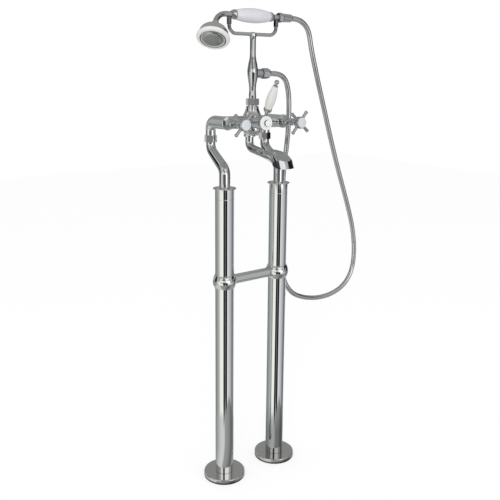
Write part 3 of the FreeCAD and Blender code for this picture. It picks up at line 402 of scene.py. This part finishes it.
def add_nozzles(shape):
    """Rings of small rubber nozzles on the plate's raised middle."""
    for radius, count in NOZZLE_RINGS:
        for i in range(count):
            turn = 2 * math.pi * i / count
            spot = Vector((radius * MM * math.cos(turn), radius * MM * math.sin(turn), NOZZLE_MIDDLE))
            made = bmesh.ops.create_cone(shape, cap_ends=True, segments=NOZZLE_SIDES, radius1=NOZZLE_R,
                                         radius2=NOZZLE_TIP * NOZZLE_R, depth=NOZZLE_LENGTH,
                                         matrix=Matrix.Translation(spot))
            for face in {f for v in made["verts"] for f in v.link_faces}:
                face.material_index = IN_RUBBER_AND_SHADE


def make_spray_plate():
    """The rose's face: a raised middle inside a groove, with its nozzles."""
    at = [v.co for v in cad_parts["spray_plate"].data.vertices]
    middle = Vector([(min(p[i] for p in at) + max(p[i] for p in at)) / 2 for i in range(3)])
    back = min(p.dot(SPRAY_HEADING) for p in at)
    middle -= SPRAY_HEADING * (middle.dot(SPRAY_HEADING) - back)
    shape = bmesh.new()
    points = [shape.verts.new((r * MM, 0, h * MM)) for r, h in SPRAY_OUTLINE]
    lines = [shape.edges.new(pair) for pair in zip(points, points[1:])]
    bmesh.ops.spin(shape, geom=points + lines, cent=(0, 0, 0), axis=UP, angle=2 * math.pi, steps=SPRAY_STEPS,
                   use_merge=True)
    bmesh.ops.remove_doubles(shape, verts=shape.verts, dist=SPRAY_JOIN)
    for face in shape.faces:
        spot = face.calc_center_median()
        out = spot.to_2d().length
        # the outer edge: black rubber as painted shade for the gap by the ring; the nozzles are real rubber
        if out > GAP_FROM:
            face.material_index = IN_RUBBER_AND_SHADE
        elif BEVEL_FROM < out < BEVEL_TO and spot.z > BEVEL_ABOVE:
            face.material_index = IN_BEVEL
    add_nozzles(shape)
    bmesh.ops.recalc_face_normals(shape, faces=shape.faces)
    turn = UP.rotation_difference(SPRAY_HEADING).to_matrix().to_4x4()
    bmesh.ops.transform(shape, matrix=Matrix.Translation(middle) @ turn, verts=shape.verts)
    data = new_mesh("spray_face", shape)
    for material in (face_plate, rubber, bevel_plate):
        data.materials.append(material)
    data.shade_smooth()
    data.set_sharp_from_angle(angle=SPRAY_EDGE)
    plate = new_object("spray_face", data)
    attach(plate, "handset")
    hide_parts("spray_plate")


make_spray_plate()

# ---- the room that the metal mirrors ------------------------------------------------------------------
CAMERA_SIDE = math.atan2(-CAMERA_AT.y, -CAMERA_AT.x)    # turns the ramps' middle to the camera

# Each band gives what the polished metal sees round the room, as degrees to the right of the camera, grey
# and tint. Below eye level: a bright wall to the left, the dark stand and its gap in the middle, a paler
# wall to the right.
LOW_BAND = [
    (-180, 0.05, "n"), (-172, 0.05, "n"), (-170, 0.9, "n"), (-150, 0.8, "n"), (-146, 0.12, "n"),
    (-128, 0.26, "g"), (-84, 0.42, "g"), (-64, 0.62, "g"), (-52, 0.98, "y"), (-13, 1.08, "y"),
    (-11, 0.008, "n"), (5, 0.01, "n"), (7, 0.20, "n"), (14, 0.14, "n"), (17, 0.008, "n"),
    (34, 0.008, "n"), (36, 0.98, "n"), (46, 0.80, "v"), (84, 0.52, "v"), (104, 0.24, "v"),
    (140, 0.12, "n"), (146, 0.8, "n"), (170, 0.9, "n"), (172, 0.05, "n"), (180, 0.05, "n"),
]
# Level with the valves: narrow white screens either side of the stand, with dark gaps beyond them.
EYE_BAND = [
    (-180, 0.10, "n"), (-162, 0.62, "y"), (-136, 0.62, "y"), (-130, 0.42, "g"), (-109, 0.48, "g"),
    (-106, 0.05, "n"), (-82, 0.05, "n"), (-78, 0.45, "n"), (-66, 0.9, "n"), (-42, 1.1, "n"),
    (-36, 0.36, "n"), (-13, 0.26, "n"), (-9, 0.10, "n"), (10, 0.12, "n"), (16, 0.32, "n"),
    (32, 0.40, "n"), (35, 1.9, "n"), (56, 1.9, "n"), (60, 0.44, "n"), (84, 0.36, "n"),
    (99, 0.24, "n"), (103, 0.02, "b"), (126, 0.02, "b"), (132, 0.3, "n"), (180, 0.10, "n"),
]
# Level with the hand shower: dark gaps to both sides.
SHOWER_BAND = [
    (-180, 0.22, "n"), (-130, 0.28, "n"), (-124, 0.46, "g"), (-109, 0.44, "g"), (-106, 0.004, "n"),
    (-81, 0.004, "n"), (-76, 0.45, "n"), (-50, 0.50, "n"), (-40, 1.1, "n"), (-20, 1.2, "n"),
    (-12, 0.9, "n"), (10, 0.7, "n"), (20, 1.4, "n"), (48, 1.9, "n"), (54, 0.5, "n"), (80, 0.5, "n"),
    (86, 0.04, "n"), (94, 0.04, "n"), (98, 0.45, "n"), (104, 0.40, "n"), (108, 0.012, "b"),
    (140, 0.02, "b"), (146, 0.30, "n"), (180, 0.22, "n"),
]
# Above them: grey walls, still dark to both sides.
UPPER_BAND = [
    (-180, 0.34, "n"), (-126, 0.30, "n"), (-122, 0.46, "g"), (-111, 0.44, "g"), (-107, 0.02, "n"),
    (-84, 0.02, "n"), (-80, 0.60, "n"), (-54, 0.36, "n"), (-46, 0.75, "n"), (-20, 0.62, "n"),
    (-13, 0.22, "n"), (8, 0.20, "n"), (14, 0.80, "n"), (38, 0.85, "n"), (46, 0.45, "n"), (80, 0.50, "n"),
    (86, 0.02, "b"), (132, 0.02, "b"), (140, 0.32, "n"), (180, 0.34, "n"),
]
# High up: soft boxes either side of the stand.
HIGH_BAND = [
    (-180, 0.30, "n"), (-120, 0.30, "n"), (-92, 0.28, "n"), (-66, 0.42, "n"), (-50, 0.42, "n"),
    (-43, 0.95, "n"), (-18, 1.0, "n"), (-14, 0.08, "n"), (5, 0.06, "n"), (10, 1.15, "n"), (52, 1.2, "n"),
    (60, 0.60, "n"), (86, 0.55, "n"), (94, 0.20, "n"), (108, 0.16, "n"), (114, 0.32, "n"), (180, 0.30, "n"),
]
# Higher still: the ceiling, with one bright strip to the left.
TOP_BAND = [
    (-180, 0.35, "n"), (-92, 0.35, "n"), (-86, 1.0, "n"), (-74, 1.0, "n"), (-68, 0.38, "n"),
    (-48, 0.38, "n"), (-40, 0.50, "n"), (-14, 0.50, "n"), (0, 0.40, "n"), (12, 0.65, "n"),
    (50, 0.65, "n"), (64, 0.40, "n"), (180, 0.35, "n"),
]
# The floor close by: paler to the left, greyer to the right.
NEAR_FLOOR = [
    (-180, 0.42, "n"), (-126, 0.31, "g"), (-84, 0.46, "g"), (-52, 0.66, "n"), (-22, 0.74, "n"),
    (3, 0.70, "n"), (9, 0.38, "n"), (50, 0.32, "n"), (66, 0.28, "n"), (84, 0.18, "n"), (108, 0.14, "n"),
    (126, 0.30, "n"), (180, 0.42, "n"),
]
# How far up past NEAR_TO_LOW the near floor reaches at each bearing, as a share of NEAR_REACH.
NEAR_RISE = [
    (-180, 0.3, "n"), (-14, 0.35, "n"), (-11, 0.55, "n"), (-7, 0.12, "n"), (-4, 0.0, "n"), (6, 0.40, "n"),
    (14, 0.75, "n"), (20, 0.35, "n"), (34, 0.55, "n"), (60, 0.8, "n"), (100, 0.5, "n"), (114, 0.0, "n"),
    (124, 0.3, "n"), (180, 0.3, "n"),
]
TINTS = {       # neutral, brown, green, yellow and violet
    "n": (1, 1, 1), "b": (1.2, 0.9, 0.8), "g": (0.95, 1.02, 0.99), "y": (1.01, 1.0, 0.94),
    "v": (0.985, 0.975, 1.04),
}
# Heights in the room are sines of the angle above the horizon: each band fades in between two of them.
NEAR_TO_LOW = (-0.490, -0.484)
NEAR_REACH = 0.05
LEVELS = (
    (EYE_BAND, -0.165, -0.155), (SHOWER_BAND, 0.0, 0.01), (UPPER_BAND, 0.22, 0.24), (HIGH_BAND, 0.43, 0.45),
    (TOP_BAND, 0.56, 0.58),
)
PLAIN_FROM, PLAIN_TO = 0.65, 0.69       # above these the ceiling is plain
# Close by, the floor's tones swing round to the left, by up to this share of a full turn.
SWING_FROM, SWING_TO = -0.50, -0.536
SWING_POWER = 2.0
SWING_TURN = 0.14


def grey(value):
    """A linear grey as RGBA."""
    return (value, value, value, 1.0)


CEILING = grey(0.35)
WHITE = grey(1.0)
ROOM_LIGHT = (0.80, 0.80, 0.81, 1.0)    # what lights all that doesn't mirror the room


def room_band(tree, around, stops):
    """One level of the room, as a ramp round it."""
    node = add(tree, "ShaderNodeValToRGB", {"Fac": around})
    ramp = node.color_ramp
    while len(ramp.elements) < len(stops):
        ramp.elements.new(1.0)
    for element, (degrees, value, tint) in zip(ramp.elements, stops):
        element.position = degrees / 360 + 0.5
        element.color = [value * t for t in TINTS[tint]] + [1.0]
    return node.outputs["Color"]


def layer(tree, height, under, over, start, end):
    """One part of the room over another, fading in between two heights."""
    share = add(tree, "ShaderNodeMapRange", {"Value": height, "From Min": start, "From Max": end})
    sides = {"Factor": share.outputs["Result"], MIX_A: under, MIX_B: over}
    return add(tree, "ShaderNodeMix", sides, data_type="RGBA").outputs[MIXED]


def make_world():
    """White to the camera, even light on what is dull, and the bands of the room in what is polished."""
    world = bpy.data.worlds.new("studio")
    world.use_nodes = True
    tree = world.node_tree
    heading = add(tree, "ShaderNodeTexCoord", {}).outputs["Generated"]
    turned = add(tree, "ShaderNodeVectorRotate", {"Vector": heading, "Angle": -CAMERA_SIDE + math.pi},
                 rotation_type="Z_AXIS").outputs["Vector"]
    height = add(tree, "ShaderNodeSeparateXYZ", {"Vector": heading}).outputs["Z"]
    around = add(tree, "ShaderNodeTexGradient", {"Vector": turned}, gradient_type="RADIAL").outputs["Fac"]

    swing = add(tree, "ShaderNodeMapRange", {"Value": height, "From Min": SWING_FROM, "From Max": SWING_TO})
    swing = add(tree, "ShaderNodeMath", {0: swing.outputs["Result"], 1: SWING_POWER}, operation="POWER")
    leftward = add(tree, "ShaderNodeMath", {0: swing.outputs["Value"], 1: SWING_TURN, 2: around},
                   operation="MULTIPLY_ADD").outputs["Value"]
    rise = room_band(tree, around, NEAR_RISE)
    lowered = add(tree, "ShaderNodeMath", {0: rise, 1: -NEAR_REACH, 2: height},
                  operation="MULTIPLY_ADD").outputs["Value"]
    near = room_band(tree, leftward, NEAR_FLOOR)
    room = layer(tree, lowered, near, room_band(tree, around, LOW_BAND), *NEAR_TO_LOW)
    for stops, start, end in LEVELS:
        room = layer(tree, height, room, room_band(tree, around, stops), start, end)
    room = layer(tree, height, room, CEILING, PLAIN_FROM, PLAIN_TO)

    path = add(tree, "ShaderNodeLightPath", {}).outputs
    lit = add(tree, "ShaderNodeMix", {"Factor": path["Is Glossy Ray"], MIX_A: ROOM_LIGHT, MIX_B: room},
              data_type="RGBA").outputs[MIXED]
    seen = add(tree, "ShaderNodeMath", {0: path["Is Camera Ray"], 1: path["Is Transmission Ray"]},
               operation="MAXIMUM").outputs["Value"]
    shown = add(tree, "ShaderNodeMix", {"Factor": seen, MIX_A: lit, MIX_B: WHITE}, data_type="RGBA")
    fill(tree, tree.nodes["Background"], {"Color": shown.outputs[MIXED], "Strength": 1.0})
    bpy.context.scene.world = world


# ---- floor and lamp -----------------------------------------------------------------------------------
FLOOR_SIZE = 6.0
PAPER_GRAIN = 20 * MM           # far coarser than paper's own grain, which would not show
PAPER_DARK, PAPER_PALE = grey(0.84), grey(0.88)
# To the camera the paper is part lit, so that it takes a shadow, and part glow, so that it is white.
PAPER_SEEN = grey(0.40)
PAPER_GLOW = 0.66
KEY_AT = Vector((-2.0, -2.6, 1.9))
KEY_AIM = Vector((0, 0, 0.9))
KEY_SIZE = 1.6
KEY_WATTS = 30


def make_floor():
    """Seamless white paper: it stays white to the eye and darkens a little where the filler shades it."""
    shape = bmesh.new()
    bmesh.ops.create_grid(shape, x_segments=1, y_segments=1, size=FLOOR_SIZE)
    data = new_mesh("studio_floor", shape)
    floor = new_object("studio_floor", data)
    material, tree, shader, place = new_material("white_paper_floor")
    grain = add(tree, "ShaderNodeTexNoise", {"Vector": place, "Scale": 1 / PAPER_GRAIN}).outputs["Fac"]
    tone = add(tree, "ShaderNodeMix", {"Factor": grain, MIX_A: PAPER_DARK, MIX_B: PAPER_PALE},
               data_type="RGBA").outputs[MIXED]
    camera_ray = add(tree, "ShaderNodeLightPath", {}).outputs["Is Camera Ray"]
    seen = add(tree, "ShaderNodeMix", {"Factor": camera_ray, MIX_A: tone, MIX_B: PAPER_SEEN},
               data_type="RGBA").outputs[MIXED]
    glow = add(tree, "ShaderNodeMath", {0: camera_ray, 1: PAPER_GLOW}, operation="MULTIPLY").outputs["Value"]
    fill(tree, shader, {"Base Color": seen, "Roughness": 0.9, "Specular IOR Level": 0.0,
                        "Emission Color": WHITE, "Emission Strength": glow})
    data.materials.append(material)
    floor.visible_glossy = False        # the metal sees the room's own floor, in the world's bands


def make_key():
    """A broad soft lamp above and behind the camera, which the metal doesn't mirror."""
    data = bpy.data.lights.new("soft_key", "AREA")
    data.shape = "DISK"
    data.size = KEY_SIZE
    data.energy = KEY_WATTS
    lamp = new_object("soft_key", data)
    aim = (KEY_AIM - KEY_AT).to_track_quat("-Z", "Y").to_matrix().to_4x4()
    lamp.matrix_world = Matrix.Translation(KEY_AT) @ aim
    lamp.visible_glossy = False


make_world()
make_floor()
make_key()
bpy.context.scene.view_settings.view_transform = "Standard"
